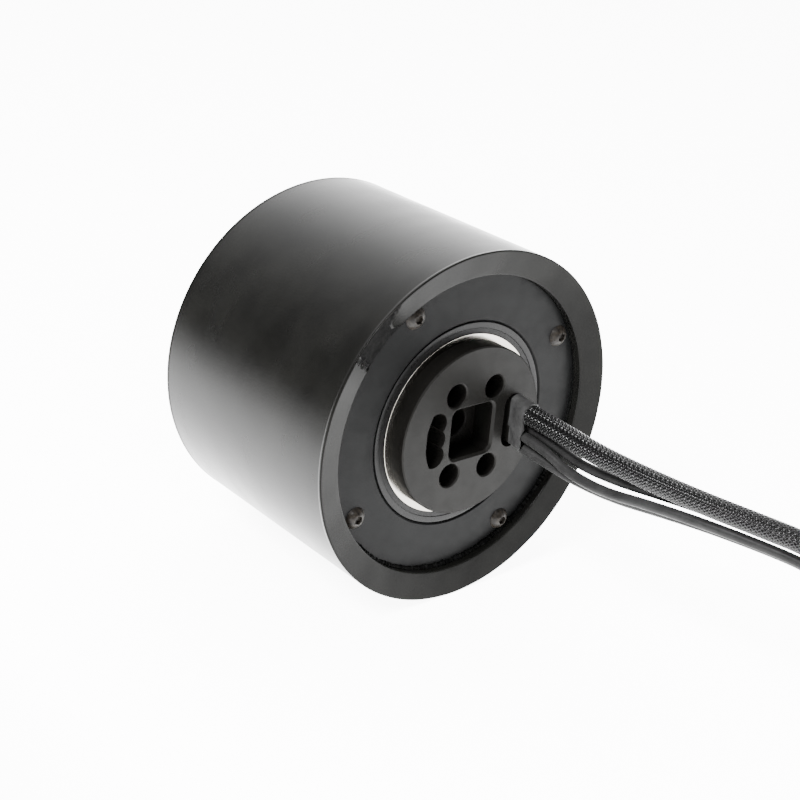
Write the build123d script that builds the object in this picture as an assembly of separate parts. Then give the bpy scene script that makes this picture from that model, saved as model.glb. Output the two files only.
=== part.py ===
from build123d import *

import math
import os

# Outrunner hub motor: a fixed hollow axle carries the wound stator, and the wheel turns round it.
# Frame: +Y runs along the spin axis from the mounting face into the wheel, +Z is up, and the
# origin is the centre of the mounting face. Angles run from +X towards +Z. Sizes are in mm.

# ---- tyre
tyre_r = 45.0
tyre_w = 64.5
tyre_bore_r = 38.4
tyre_y = 0.35
tyre_dish = 1.9
tyre_edge = 0.7
key_w = 5.0
key_h = 1.0
key_count = 4
key_start = 74.5
key_gap = 0.1

# ---- rotor can, magnets and end covers
can_r = 38.35
can_bore_r = 33.0
can_y0 = 7.85
can_y1 = 57.8
magnet_count = 14
magnet_r = 30.3
magnet_span = 21.5
magnet_y0 = 17.5
magnet_y1 = 53.0
cover_y = 4.65
cover_r = 38.25
spigot_r = 32.9
spigot_wall = 1.4
spigot_h = 1.2
inner_boss_r = 29.0
outer_boss_r = 16.5
screw_pcd_r = 35.0
inner_screw_count = 4
inner_screw_start = 29.5
outer_screw_count = 6
screw_r = 1.5
screw_hole_r = 1.54
screw_head_r = 2.8
screw_head_h = 1.65
screw_socket = 2.0
screw_socket_depth = 1.0
screw_len = 9.0
screw_hole_depth = 10.0

# ---- hub axle
face_r = 21.55
face_chamfer = 0.3
axle_r = 8.5
axle_y1 = 60.2
head_y1 = 14.0
pocket = 13.0
pocket_corner = 1.9
pocket_chamfer = 0.6
pocket_depth = 6.6
axle_bore_r = 3.6
bore_chamfer = 0.25
bolt_pcd = 24.0
bolt_angle = 60.0
bolt_r = 3.0
bolt_chamfer = 0.3
bolt_depth = 12.0
slot_r = 2.9
slot_half = 4.2
vent_x = -11.5
vent_outer_r = 14.55
exit_x = 12.95
groove_d = 0.5

# ---- bearings: inner 42 x 52 x 7, outer 17 x 26 x 5
inner_y0 = 4.8
inner_w = 7.0
inner_bore = 21.0
inner_od = 26.0
inner_ring_r = 23.15
inner_race_r = 24.45
inner_ball_r = 1.2
inner_pitch_r = 23.9
inner_ball_count = 26
outer_y0 = 53.3
outer_w = 5.0
outer_bore = 8.5
outer_od = 13.0
outer_ring_r = 10.1
outer_race_r = 11.6
outer_ball_r = 1.15
outer_pitch_r = 10.8
outer_ball_count = 13
race_gap = 0.05
seal_w = 0.5
seal_inset = 0.15
seal_gap = 0.05
cage_half_w = 1.6
cage_t = 0.45
circlip_w = 1.0
circlip_h = 1.5
circlip_gap = 0.1
lip = 1.0

# ---- stator
stack_y0 = 20.2
stack_y1 = 50.2
stack_r = 29.7
carrier_r = 15.5
carrier_flange_r = 17.5
carrier_y0 = 18.4
yoke_r = 19.5
tooth_count = 12
tooth_w = 6.0
tip_r = 27.7
tip_span = 24.0
insulator_t = 1.2
coil_r0 = 20.4
coil_r1 = 27.3
coil_span = 27.0
coil_y0 = 15.2
coil_y1 = 55.2
coil_gap = 0.15
coil_round = 1.6
shaft_key = 3.0
shaft_key_y0 = 24.0
shaft_key_y1 = 46.0
board_r0 = 21.6
board_r1 = 29.6
board_y0 = 13.6
board_t = 0.8
post_r = 0.7
post_pitch_r = 28.45
hall_count = 3
hall_start = 15.0
hall_size = (1.4, 4.0, 2.8)
hall_r = 28.85
leg = 0.5

# ---- dust cap
cap_r = 14.0
cap_t = 1.4
cap_skirt_r = 11.95
cap_skirt_t = 1.2
cap_skirt_h = 1.0
cap_edge = 0.6

# ---- cords. The floor is the surface that the tyre stands on.
floor = -tyre_r
sleeve_r = 2.65
lead_r = 1.25
boot_x = 13.05
boot_w = 5.3
boot_z0 = -6.5
boot_z1 = 6.8
boot_y0 = 10.0
boot_y1 = -6.0
coil_x = 12.2
coil_y = -149.0
coil_in_r = 13.0
coil_out_r = 39.5
coil_h = 5.6
tie_w = 4.0
tie_t = 0.8
tie_clear = 0.3
tie_angle = -60.0
bullet_r = 2.4

# Way points of each cord between the boot and the coil. The last point lies inside the coil.
sleeve_route = [
    (13.1, boot_y1, 3.7), (12.9, -16, 3.6), (12.3, -29, 3.2), (13.5, -43, 3.0),
    (15.9, -57, 2.7), (19.6, -71, 2.3), (23.3, -81.8, 1.5), (26.5, -91.6, -1.1),
    (28.9, -100.5, -5.9), (30.5, -108.1, -12.9), (31.6, -114.4, -21.1), (32.4, -120.9, -29.1),
    (33.1, -129.1, -35.5), (33.6, -138.6, -39.8), (33.7, -148.8, -41.8),
    (32.4, -158.4, floor + sleeve_r),
]
lead_a_route = [
    (12.0, boot_y1, -1.9), (12.1, -13, -2.4), (12.3, -21, -5.0), (12.7, -32, -5.3),
    (14.0, -44, -3.4), (16.4, -57, -2.4), (19.9, -70, -2.5), (24.2, -80.7, -3.8),
    (26.7, -89.5, -6.2), (27.7, -97.5, -10.5), (27.8, -104.8, -16.4), (27.2, -111.8, -23.7),
    (27.1, -119.8, -30.9), (27.4, -129.1, -36.2), (27.9, -138.9, -39.5), (28.1, -149.0, -41.1),
    (27.2, -157.5, floor + 3.6),
]
lead_b_route = [
    (12.2, boot_y1, -5.1), (12.9, -13, -6.0), (14.6, -22.5, -7.5), (15.5, -34, -7.0),
    (16.4, -46, -5.0), (19.0, -58, -4.1), (22.6, -70, -4.3), (26.9, -79.5, -5.7),
    (29.1, -88.0, -8.2), (29.5, -95.6, -12.5), (28.7, -102.4, -18.4), (27.5, -109.4, -25.5),
    (26.7, -117.8, -33.0), (26.5, -127.8, -38.7), (26.6, -138.2, -42.2), (26.7, -148.6, -43.5),
    (25.6, -157.0, floor + lead_r),
]
lead_c_route = [
    (14.3, boot_y1, -0.6), (14.3, -13, -1.2), (14.6, -22, -2.9), (15.3, -33, -2.5),
    (16.6, -45, -1.0), (19.3, -57, -0.4), (23.1, -70, -0.7), (27.6, -79.8, -2.2),
    (30.2, -89.0, -4.9), (31.2, -97.1, -10.0), (30.9, -104.0, -16.6), (30.1, -110.5, -24.3),
    (29.5, -118.3, -32.1), (29.3, -127.9, -38.3), (29.4, -138.1, -42.0), (29.5, -148.6, -43.5),
    (28.4, -157.2, floor + lead_r),
]
# Way points of each tail from the coil to the connector on its end.
sleeve_tail = [(-19.5, -167.3, floor + sleeve_r), (-24.9, -158.9, floor + sleeve_r),
               (-31.6, -151.2, floor + sleeve_r), (-38.9, -144.4, floor + sleeve_r)]
lead_a_tail = [(-14.7, -164.5, floor + 3.6), (-20.0, -154.9, floor + 3.9),
               (-24.7, -144.9, floor + 5.0), (-29.4, -134.3, floor + 6.6)]
lead_b_tail = [(-13.4, -163.8, floor + lead_r), (-18.9, -153.7, floor + lead_r + 0.1),
               (-23.6, -143.1, floor + lead_r + 0.6), (-27.7, -132.2, floor + bullet_r)]
lead_c_tail = [(-15.9, -165.2, floor + lead_r), (-21.3, -155.6, floor + lead_r + 0.1),
               (-26.1, -146.3, floor + lead_r + 0.6), (-30.8, -136.9, floor + bullet_r)]
bullet_sleeve_len = 9.0
bullet_pin_r = 1.95
bullet_pin_len = 9.0
plug_w = 15.0
plug_h = 5.8
plug_len = 9.0
plug_wall = 0.9
plug_pin = 0.64
plug_pins = 6
plug_pitch = 2.0


# ---- shapes that repeat
def turned(corners):
    """A solid turned about the spin axis from its (radius, y) corners."""
    return revolve(make_face(Polyline(*corners, close=True)), axis=Axis.Y)


def ring(r0, r1, y0, y1):
    """A plain ring between two radii and two stations along the spin axis."""
    return turned([(r0, y0), (r1, y0), (r1, y1), (r0, y1)])


def rod(r, y0, y1, x=0.0, z=0.0):
    """A round rod parallel to the spin axis."""
    return Pos(x, (y0 + y1) / 2, z) * Rot(X=90) * Cylinder(r, y1 - y0)


def block(outline, y0, y1):
    """An outline in (x, z), extruded from y0 to y1."""
    return extrude(Plane.XZ.offset(-y0) * outline, amount=y0 - y1)


def countersink(r, depth, y):
    """The cone that breaks the edge of a hole of radius r at the station y."""
    return turned([(0, y), (r + depth, y), (r, y + depth), (0, y + depth)])


def at_angle(shape, degrees):
    """A shape drawn on +X, turned about the spin axis from +X towards +Z."""
    return Rot(Y=-degrees) * shape


def around(shape, count, start=0.0):
    """Evenly spaced copies of a shape about the spin axis."""
    return [at_angle(shape, start + 360 * i / count) for i in range(count)]


def sector(r0, r1, span):
    """A ring sector outline, centred on +X, between two radii."""
    reach = 2 * r1
    half = math.radians(span / 2)
    wedge = make_face(Polyline((0, 0), (reach * math.cos(half), -reach * math.sin(half)),
                               (reach * math.cos(half), reach * math.sin(half)), close=True))
    return (Circle(r1) - Circle(r0)) & wedge


def face_edges(solid, y, keep):
    """The edges of a solid that lie in the plane y and whose middle passes a test on (x, z)."""
    flat = solid.edges().filter_by_position(Axis.Y, y - 0.01, y + 0.01)
    return flat.filter_by(lambda e: keep(e.center().X, e.center().Z))


# ---- rotor
def tyre():
    y1 = tyre_y + tyre_w
    body = turned([
        (tyre_bore_r, tyre_y + tyre_dish),
        (tyre_r - tyre_edge, tyre_y),
        (tyre_r, tyre_y + tyre_edge),
        (tyre_r, y1 - tyre_edge),
        (tyre_r - tyre_edge, y1),
        (tyre_bore_r, y1 - tyre_dish),
    ])
    key = Box(2 * (key_h + key_gap), can_y1 - can_y0, key_w + 2 * key_gap)
    key = Pos(tyre_bore_r, (can_y0 + can_y1) / 2, 0) * key
    for cut in around(key, key_count, key_start):
        body -= cut
    return body


def rotor_can():
    body = ring(can_bore_r, can_r, can_y0, can_y1)
    key = Box(2 * key_h, can_y1 - can_y0 - 1, key_w)
    for rib in around(Pos(can_r, (can_y0 + can_y1) / 2, 0) * key, key_count, key_start):
        body += rib
    near = rod(screw_hole_r, can_y0 - 1, can_y0 + screw_hole_depth, screw_pcd_r)
    far = rod(screw_hole_r, can_y1 - screw_hole_depth, can_y1 + 1, screw_pcd_r)
    for hole in around(near, inner_screw_count, inner_screw_start):
        body -= hole
    for hole in around(far, outer_screw_count, inner_screw_start):
        body -= hole
    return body


def magnets():
    one = block(sector(magnet_r, can_bore_r, magnet_span), magnet_y0, magnet_y1)
    return around(one, magnet_count)


def inner_end_cover():
    back = inner_y0 + inner_w
    body = turned([
        (inner_od + 0.6, cover_y),
        (cover_r, cover_y),
        (cover_r, can_y0),
        (spigot_r, can_y0),
        (spigot_r, can_y0 + spigot_h),
        (spigot_r - spigot_wall, can_y0 + spigot_h),
        (spigot_r - spigot_wall, can_y0),
        (inner_boss_r, can_y0),
        (inner_boss_r, back + 0.4),
        (inner_od - lip, back + 0.4),
        (inner_od - lip, back),
        (inner_od, back),
        (inner_od, cover_y + 0.6),
    ])
    hole = rod(screw_hole_r, cover_y - 1, can_y0 + 1, screw_pcd_r)
    for cut in around(hole, inner_screw_count, inner_screw_start):
        body -= cut
    return body


def outer_end_cover():
    face = can_y1 + can_y0 - cover_y
    back = outer_y0 + outer_w
    body = turned([
        (outer_od, outer_y0),
        (outer_boss_r, outer_y0),
        (outer_boss_r, can_y1),
        (spigot_r - spigot_wall, can_y1),
        (spigot_r - spigot_wall, can_y1 - spigot_h),
        (spigot_r, can_y1 - spigot_h),
        (spigot_r, can_y1),
        (cover_r, can_y1),
        (cover_r, face),
        (outer_od - lip, face),
        (outer_od - lip, back),
        (outer_od, back),
    ])
    hole = rod(screw_hole_r, can_y1 - 1, face + 1, screw_pcd_r)
    for cut in around(hole, outer_screw_count, inner_screw_start):
        body -= cut
    return body


def cover_screw():
    """A button-head screw on the axis, its head's seat at y = 0 and its shank along +Y."""
    rise = screw_head_h
    dome = (screw_head_r ** 2 + rise ** 2) / (2 * rise)
    head = Pos(0, dome - rise, 0) * Sphere(dome)
    head &= rod(screw_head_r, -2 * rise, 0)
    socket = block(RegularPolygon(screw_socket / 2, 6, major_radius=False), -2 * rise,
                   screw_socket_depth - rise)
    return head + rod(screw_r, 0, screw_len) - socket


def inner_cover_screws():
    one = Pos(screw_pcd_r, cover_y, 0) * cover_screw()
    return around(one, inner_screw_count, inner_screw_start)


def outer_cover_screws():
    face = can_y1 + can_y0 - cover_y
    one = Pos(screw_pcd_r, face, 0) * Rot(Z=180) * cover_screw()
    return around(one, outer_screw_count, inner_screw_start)


def dust_cap():
    face = can_y1 + can_y0 - cover_y
    return turned([
        (0, face), (cap_skirt_r - cap_skirt_t, face),
        (cap_skirt_r - cap_skirt_t, face - cap_skirt_h), (cap_skirt_r, face - cap_skirt_h),
        (cap_skirt_r, face), (cap_r, face), (cap_r, face + cap_t - cap_edge),
        (cap_r - cap_edge, face + cap_t), (0, face + cap_t),
    ])


# ---- bearings
def race(r0, r1, y0, width, ball_r, pitch_r):
    """A bearing ring with its ball groove."""
    groove = Pos(0, y0 + width / 2, 0) * Rot(X=90) * Torus(pitch_r, ball_r + race_gap)
    return ring(r0, r1, y0, y0 + width) - groove


def balls(count, ball_r, pitch_r, y):
    return around(Pos(pitch_r, y, 0) * Sphere(ball_r), count)


def cage(count, ball_r, pitch_r, y):
    """A ribbon cage: a thin ring with a clear round pocket for each ball."""
    body = ring(pitch_r - cage_t / 2, pitch_r + cage_t / 2, y - cage_half_w, y + cage_half_w)
    pocket_hole = Pos(pitch_r, y, 0) * Rot(Y=90) * Cylinder(ball_r + race_gap, 4 * ball_r)
    for cut in around(pocket_hole, count):
        body -= cut
    return body


def seals(r0, r1, y0, width):
    """The two seals of a bearing, one just inside each face."""
    near = ring(r0 + seal_gap, r1, y0 + seal_inset, y0 + seal_inset + seal_w)
    far_y = y0 + width - seal_inset
    return [near, ring(r0 + seal_gap, r1, far_y - seal_w, far_y)]


def circlip(bore_r, y0):
    """An external snap ring in its groove, open at the bottom, with two ears."""
    groove_r = bore_r - groove_d
    body = ring(groove_r, bore_r + circlip_h, y0, y0 + circlip_w)
    body -= Pos(0, y0, -bore_r - 1) * Box(3, 3 * circlip_w, 8)
    return body


# ---- stator
def hub_axle():
    seat_end = inner_y0 + inner_w
    lock_end = seat_end + circlip_w + circlip_gap
    outer_end = outer_y0 + outer_w
    outer_lock = outer_end + circlip_w + circlip_gap
    body = turned([
        (0, 0), (face_r - face_chamfer, 0), (face_r, face_chamfer), (face_r, inner_y0),
        (inner_bore, inner_y0), (inner_bore, seat_end),
        (inner_bore - groove_d, seat_end), (inner_bore - groove_d, lock_end),
        (inner_bore, lock_end), (inner_bore, head_y1), (axle_r, head_y1),
        (axle_r, outer_end), (axle_r - groove_d, outer_end),
        (axle_r - groove_d, outer_lock), (axle_r, outer_lock), (axle_r, axle_y1), (0, axle_y1),
    ])
    body -= block(RectangleRounded(pocket, pocket, pocket_corner), 0, pocket_depth)
    body = chamfer(face_edges(body, 0, lambda x, z: math.hypot(x, z) < pocket), pocket_chamfer)
    body -= rod(axle_bore_r, 0, axle_y1 + 1)
    body -= countersink(axle_bore_r, bore_chamfer, pocket_depth)
    body -= block(vent_outline(), 0, head_y1 + 0.01)
    body -= block(exit_outline(), 0, head_y1 + 0.01)
    for x, z in bolt_places():
        body -= rod(bolt_r, 0, bolt_depth, x, z)
        body -= Pos(x, 0, z) * countersink(bolt_r, bolt_chamfer, 0)
    body -= Pos(axle_r, (shaft_key_y0 + shaft_key_y1) / 2, 0) * key_block(0.02)
    return body


def vent_outline():
    """The open slot: three overlapping holes, straightened on the outer side."""
    shape = Pos(vent_x - slot_r / 2, 0) * Rectangle(slot_r, 2 * slot_half)
    for z in (-slot_half, 0, slot_half):
        shape += Pos(vent_x, z) * Circle(slot_r)
    return shape & Circle(vent_outer_r)


def exit_outline():
    """The slot that the cables leave by."""
    shape = Pos(exit_x, 0) * Rectangle(2 * slot_r, 2 * slot_half)
    for z in (-slot_half, slot_half):
        shape += Pos(exit_x, z) * Circle(slot_r)
    return shape


def bolt_places():
    half = bolt_pcd / 2
    x = half * math.cos(math.radians(bolt_angle))
    z = half * math.sin(math.radians(bolt_angle))
    return [(x, z), (-x, z), (-x, -z), (x, -z)]


def key_block(gap):
    return Box(shaft_key + 2 * gap, shaft_key_y1 - shaft_key_y0, shaft_key + 2 * gap)


def axle_key():
    return Pos(axle_r, (shaft_key_y0 + shaft_key_y1) / 2, 0) * key_block(0)


def stator_carrier():
    body = turned([
        (axle_r, carrier_y0), (carrier_flange_r, carrier_y0), (carrier_flange_r, stack_y0),
        (carrier_r, stack_y0), (carrier_r, stack_y1), (axle_r, stack_y1),
    ])
    return body - Pos(axle_r, (shaft_key_y0 + shaft_key_y1) / 2, 0) * key_block(0.02)


def tooth_outline(tip_gap=0.0):
    """The lamination: a yoke ring and its T-shaped teeth."""
    shape = Circle(yoke_r) - Circle(carrier_r)
    for i in range(tooth_count):
        turn = Rot(Z=360 * i / tooth_count)
        middle = (carrier_r + 1 + tip_r + 0.5) / 2
        shape += turn * Pos(middle, 0) * Rectangle(tip_r + 0.5 - carrier_r - 1, tooth_w)
        shape += turn * sector(tip_r, stack_r - tip_gap, tip_span)
    return shape


def stator_core():
    return block(tooth_outline(), stack_y0, stack_y1)


def stator_insulators():
    """Moulded end plates. The near one has three posts under the sensor board."""
    outline = tooth_outline(tip_gap=0.3) - Circle(carrier_flange_r + 0.1)
    near = block(outline, stack_y0 - insulator_t, stack_y0)
    post = rod(post_r, board_y0 + board_t, stack_y0 - insulator_t / 2, post_pitch_r)
    for one in around(post, hall_count):
        near += one
    return [near, block(outline, stack_y1, stack_y1 + insulator_t)]


def stator_coils():
    middle_y = (stack_y0 + stack_y1) / 2
    one = block(sector(coil_r0, coil_r1, coil_span), coil_y0, coil_y1)
    rim = one.edges().filter_by(Axis.Y, reverse=True)
    rim = rim.filter_by(lambda e: e.center().X > coil_r1 * 0.9 or e.center().X < coil_r0 * 1.03)
    one = fillet(rim, coil_round)
    core_w = tooth_w + 2 * coil_gap
    core_l = stack_y1 - stack_y0 + 2 * insulator_t + 2 * coil_gap
    one -= Pos((coil_r0 + coil_r1) / 2, middle_y, 0) * Box(20, core_l, core_w)
    return around(one, tooth_count)


def hall_board():
    return ring(board_r0, board_r1, board_y0, board_y0 + board_t)


def hall_sensors():
    """Each sensor sits in a slot opening, on three legs from the board."""
    depth, length, width = hall_size
    body = Pos(hall_r, stack_y0 + length / 2, 0) * Box(depth, length, width)
    for z in (-1.0, 0, 1.0):
        legs_y = (board_y0 + board_t + stack_y0) / 2
        body += Pos(hall_r, legs_y, z) * Box(leg, stack_y0 - board_y0 - board_t, leg)
    return around(body, hall_count, hall_start)


# ---- cable exit and cords
def cable_boot():
    """The flat shrink boot: full where it sits in the slot, closed on the cords it holds."""
    middle = (boot_z0 + boot_z1) / 2
    outline = RectangleRounded(boot_w, boot_z1 - boot_z0, boot_w / 2 - 0.05)
    return block(Pos(boot_x, middle) * outline, boot_y1, boot_y0)


def bend_radii(points):
    """The radius at each corner of a route: 0.45 of the shorter run over tan(half the turn)."""
    radii = []
    for a, b, c in zip(points, points[1:], points[2:]):
        into = Vector(b) - Vector(a)
        away = Vector(c) - Vector(b)
        turn = math.radians(into.get_angle(away))
        radii.append(0.45 * min(into.length, away.length) / math.tan(turn / 2))
    return radii


def tube(name, points, r):
    """A round cord along a route of straight runs joined by tangent arcs."""
    radii = bend_radii(points)
    path = FilletPolyline(*points, radius=radii)
    start = Plane(origin=points[0], z_dir=Vector(points[1]) - Vector(points[0]))
    solid = sweep(start * Circle(r), path=path)
    ideal = math.pi * r * r * path.length
    print(f"{name}: {path.length:.1f} mm, tightest radius {min(radii):.1f} mm,"
          f" volume {solid.volume:.0f} of {ideal:.0f} mm3")
    return solid


def cord(name, route, tail, r):
    return [tube(name, route, r), tube(name + " tail", tail, r)]


def harness_coil():
    """The outer shape of the wound cords."""
    body = ring(coil_in_r, coil_out_r, 0, coil_h)
    body = fillet(body.edges(), 1.5)
    return Pos(coil_x, coil_y, floor) * Rot(X=90) * body


def cable_tie():
    """A strap over the coil and down both sides of it."""
    middle = (coil_in_r + coil_out_r) / 2
    inside = coil_out_r - coil_in_r + 2 * tie_clear
    over = Box(inside + 2 * tie_t, tie_w, coil_h + tie_clear + tie_t)
    over = Pos(0, 0, (coil_h + tie_clear + tie_t) / 2) * over
    gap = Box(inside, 2 * tie_w, coil_h + tie_clear)
    over -= Pos(0, 0, (coil_h + tie_clear) / 2) * gap
    over = fillet(over.edges().filter_by(Axis.Y), 0.3)
    return Pos(coil_x, coil_y, floor) * Rot(Z=tie_angle) * Pos(middle, 0, 0) * over


def along(tail):
    """A plane at a tail's end whose normal runs level, the way the cord leaves."""
    last = Vector(tail[-1])
    run = last - Vector(tail[-2])
    return Plane(origin=last, x_dir=Vector(-run.Y, run.X, 0), z_dir=Vector(run.X, run.Y, 0))


def bullet(tail):
    """A shrink sleeve round the joint, then a hollow bullet pin."""
    body = Cylinder(bullet_r, bullet_sleeve_len, align=(Align.CENTER, Align.CENTER, Align.MIN))
    pin_end = bullet_sleeve_len + bullet_pin_len
    pin = Cylinder(bullet_pin_r, bullet_pin_len, align=(Align.CENTER, Align.CENTER, Align.MIN))
    pin = chamfer(pin.edges().group_by(Axis.Z)[-1], 0.5)
    return along(tail) * body, along(tail) * Pos(0, 0, pin_end - bullet_pin_len) * pin


def sensor_plug():
    """The sensor lead's six-way housing, open at its far end."""
    seat = along(sleeve_tail) * Pos(0, plug_h / 2 - sleeve_r, 0)
    shell = Box(plug_w, plug_h, plug_len, align=(Align.CENTER, Align.CENTER, Align.MIN))
    shell = fillet(shell.edges().filter_by(Axis.Z), 0.4)
    hollow = Box(plug_w - 2 * plug_wall, plug_h - 2 * plug_wall, plug_len,
                 align=(Align.CENTER, Align.CENTER, Align.MIN))
    return seat * (shell - Pos(0, 0, 2.5) * hollow)


def sensor_pins():
    seat = along(sleeve_tail) * Pos(0, plug_h / 2 - sleeve_r, 2.5)
    pins = []
    for i in range(plug_pins):
        x = (i - (plug_pins - 1) / 2) * plug_pitch
        pins.append(seat * Pos(x, 0, 2.5) * Box(plug_pin, plug_pin, 5.0))
    return pins


def nodes():
    """Every node's name with its solid or list of solids."""
    inner_mid = inner_y0 + inner_w / 2
    outer_mid = outer_y0 + outer_w / 2
    found = {
        "tyre": tyre(),
        "rotor_can": rotor_can(),
        "magnets": magnets(),
        "inner_end_cover": inner_end_cover(),
        "inner_cover_screws": inner_cover_screws(),
        "outer_end_cover": outer_end_cover(),
        "outer_cover_screws": outer_cover_screws(),
        "dust_cap": dust_cap(),
        "inner_bearing_outer_ring": race(inner_race_r, inner_od, inner_y0, inner_w,
                                         inner_ball_r, inner_pitch_r),
        "inner_bearing_inner_ring": race(inner_bore, inner_ring_r, inner_y0, inner_w,
                                         inner_ball_r, inner_pitch_r),
        "inner_bearing_balls": balls(inner_ball_count, inner_ball_r, inner_pitch_r, inner_mid),
        "inner_bearing_cage": cage(inner_ball_count, inner_ball_r, inner_pitch_r, inner_mid),
        "inner_bearing_seals": seals(inner_ring_r, inner_race_r, inner_y0, inner_w),
        "inner_bearing_circlip": circlip(inner_bore, inner_y0 + inner_w),
        "outer_bearing_outer_ring": race(outer_race_r, outer_od, outer_y0, outer_w,
                                         outer_ball_r, outer_pitch_r),
        "outer_bearing_inner_ring": race(outer_bore, outer_ring_r, outer_y0, outer_w,
                                         outer_ball_r, outer_pitch_r),
        "outer_bearing_balls": balls(outer_ball_count, outer_ball_r, outer_pitch_r, outer_mid),
        "outer_bearing_cage": cage(outer_ball_count, outer_ball_r, outer_pitch_r, outer_mid),
        "outer_bearing_seals": seals(outer_ring_r, outer_race_r, outer_y0, outer_w),
        "outer_bearing_circlip": circlip(outer_bore, outer_y0 + outer_w),
        "outer_bearing_spacer": ring(axle_r, axle_r + 1.5, stack_y1, outer_y0),
        "hub_axle": hub_axle(),
        "axle_key": axle_key(),
        "stator_carrier": stator_carrier(),
        "stator_core": stator_core(),
        "stator_insulators": stator_insulators(),
        "stator_coils": stator_coils(),
        "hall_board": hall_board(),
        "hall_sensors": hall_sensors(),
        "cable_boot": cable_boot(),
        "sensor_cable": cord("sensor cable", sleeve_route, sleeve_tail, sleeve_r),
        "phase_lead_a": cord("phase lead a", lead_a_route, lead_a_tail, lead_r),
        "phase_lead_b": cord("phase lead b", lead_b_route, lead_b_tail, lead_r),
        "phase_lead_c": cord("phase lead c", lead_c_route, lead_c_tail, lead_r),
        "harness_coil": harness_coil(),
        "cable_tie": cable_tie(),
        "sensor_plug": sensor_plug(),
        "sensor_plug_pins": sensor_pins(),
    }
    for letter, tail in (("a", lead_a_tail), ("b", lead_b_tail), ("c", lead_c_tail)):
        shrink, pin = bullet(tail)
        found["bullet_sleeve_" + letter] = shrink
        found["bullet_pin_" + letter] = pin
    return found


os.makedirs("parts", exist_ok=True)
for node, shape in nodes().items():
    if isinstance(shape, list):
        shape = Compound(children=shape)
    export_step(shape, f"parts/{node}.step")
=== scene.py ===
"""Looks of the outrunner hub motor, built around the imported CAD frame.

Metres throughout, in the CAD's own frame: the origin is the centre of the mounting face, +Y runs
along the spin axis into the wheel and +Z is up. Sizes and places below are in millimetres, and MM
makes metres of them. The camera's clipping, the floor's reach and fade, and the lights are in metres.
"""
import math
import random

import bmesh
import bpy
import numpy as np
from mathutils import Matrix, Vector


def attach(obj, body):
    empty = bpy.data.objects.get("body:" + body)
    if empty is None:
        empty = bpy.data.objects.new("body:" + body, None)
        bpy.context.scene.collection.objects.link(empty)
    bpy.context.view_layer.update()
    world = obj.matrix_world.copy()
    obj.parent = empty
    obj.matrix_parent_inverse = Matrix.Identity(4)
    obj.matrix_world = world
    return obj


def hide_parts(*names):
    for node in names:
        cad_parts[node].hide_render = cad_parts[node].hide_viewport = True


MM = 0.001
TYRE_R = 45.0
FLOOR_Z = -TYRE_R

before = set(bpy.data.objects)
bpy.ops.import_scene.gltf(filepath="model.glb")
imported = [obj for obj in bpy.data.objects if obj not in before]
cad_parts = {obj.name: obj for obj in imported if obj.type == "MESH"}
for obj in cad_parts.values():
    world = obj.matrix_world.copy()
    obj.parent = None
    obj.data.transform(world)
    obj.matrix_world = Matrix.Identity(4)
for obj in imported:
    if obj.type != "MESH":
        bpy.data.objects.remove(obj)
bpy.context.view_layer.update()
for leftover in ("Cube", "Light", "Camera"):
    if leftover in bpy.data.objects:
        bpy.data.objects.remove(bpy.data.objects[leftover])


def linked(name, data):
    """A new object with this data, in the scene."""
    item = bpy.data.objects.new(name, data)
    bpy.context.collection.objects.link(item)
    return item


# ---- camera
CAMERA_PLACE = (-238.02, -242.80, 155.78)
CAMERA_HEADING = 41.4181
CAMERA_DOWN = 23.7358
CAMERA_ROLL = 5.0752
LENS = 70.31
NEAR_CLIP = 0.01
FAR_CLIP = 20.0


def camera():
    """The photo's camera: its heading from +Y towards +X, downward tilt and roll, in degrees."""
    data = bpy.data.cameras.new("camera")
    data.lens = LENS
    data.sensor_width = 36.0
    data.clip_start = NEAR_CLIP
    data.clip_end = FAR_CLIP
    item = linked("camera", data)
    heading = Matrix.Rotation(math.radians(-CAMERA_HEADING), 4, "Z")
    tilt = Matrix.Rotation(math.radians(90 - CAMERA_DOWN), 4, "X")
    roll = Matrix.Rotation(math.radians(CAMERA_ROLL), 4, "Z")
    item.matrix_world = Matrix.Translation(Vector(CAMERA_PLACE) * MM) @ heading @ tilt @ roll
    bpy.context.scene.camera = item


# ---- cords
SLEEVE_R = 2.65
LEAD_R = 1.25
BULLET_R = 2.4
BOOT_Y = -6.0
# the coil's centre on the floor, its radius at the start, its growth in a turn, and its angles
COIL = (12.2, -149.0)
COIL_R = 21.5
COIL_LEAD = 10.7
COIL_ANGLES = range(25, 491, 20)
UPPER_LEAD_Z = 3.6

SLEEVE_ROUTE = [
    (13.1, BOOT_Y, 3.7), (12.9, -16, 3.6), (12.3, -29, 3.2), (13.5, -43, 3.0),
    (15.9, -57, 2.7), (19.6, -71, 2.3), (23.3, -81.8, 1.5), (26.5, -91.6, -1.1),
    (28.9, -100.5, -5.9), (30.5, -108.1, -12.9), (31.6, -114.4, -21.1), (32.4, -120.9, -29.1),
    (33.1, -129.1, -35.5), (33.6, -138.6, -39.8), (33.7, -148.8, -41.8),
]
LEAD_A_ROUTE = [
    (12.0, BOOT_Y, -1.9), (12.1, -13, -2.4), (12.3, -21, -5.0), (12.7, -32, -5.3),
    (14.0, -44, -3.4), (16.4, -57, -2.4), (19.9, -70, -2.5), (24.2, -80.7, -3.8),
    (26.7, -89.5, -6.2), (27.7, -97.5, -10.5), (27.8, -104.8, -16.4), (27.2, -111.8, -23.7),
    (27.1, -119.8, -30.9), (27.4, -129.1, -36.2), (27.9, -138.9, -39.5), (28.1, -149.0, -41.1),
]
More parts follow.
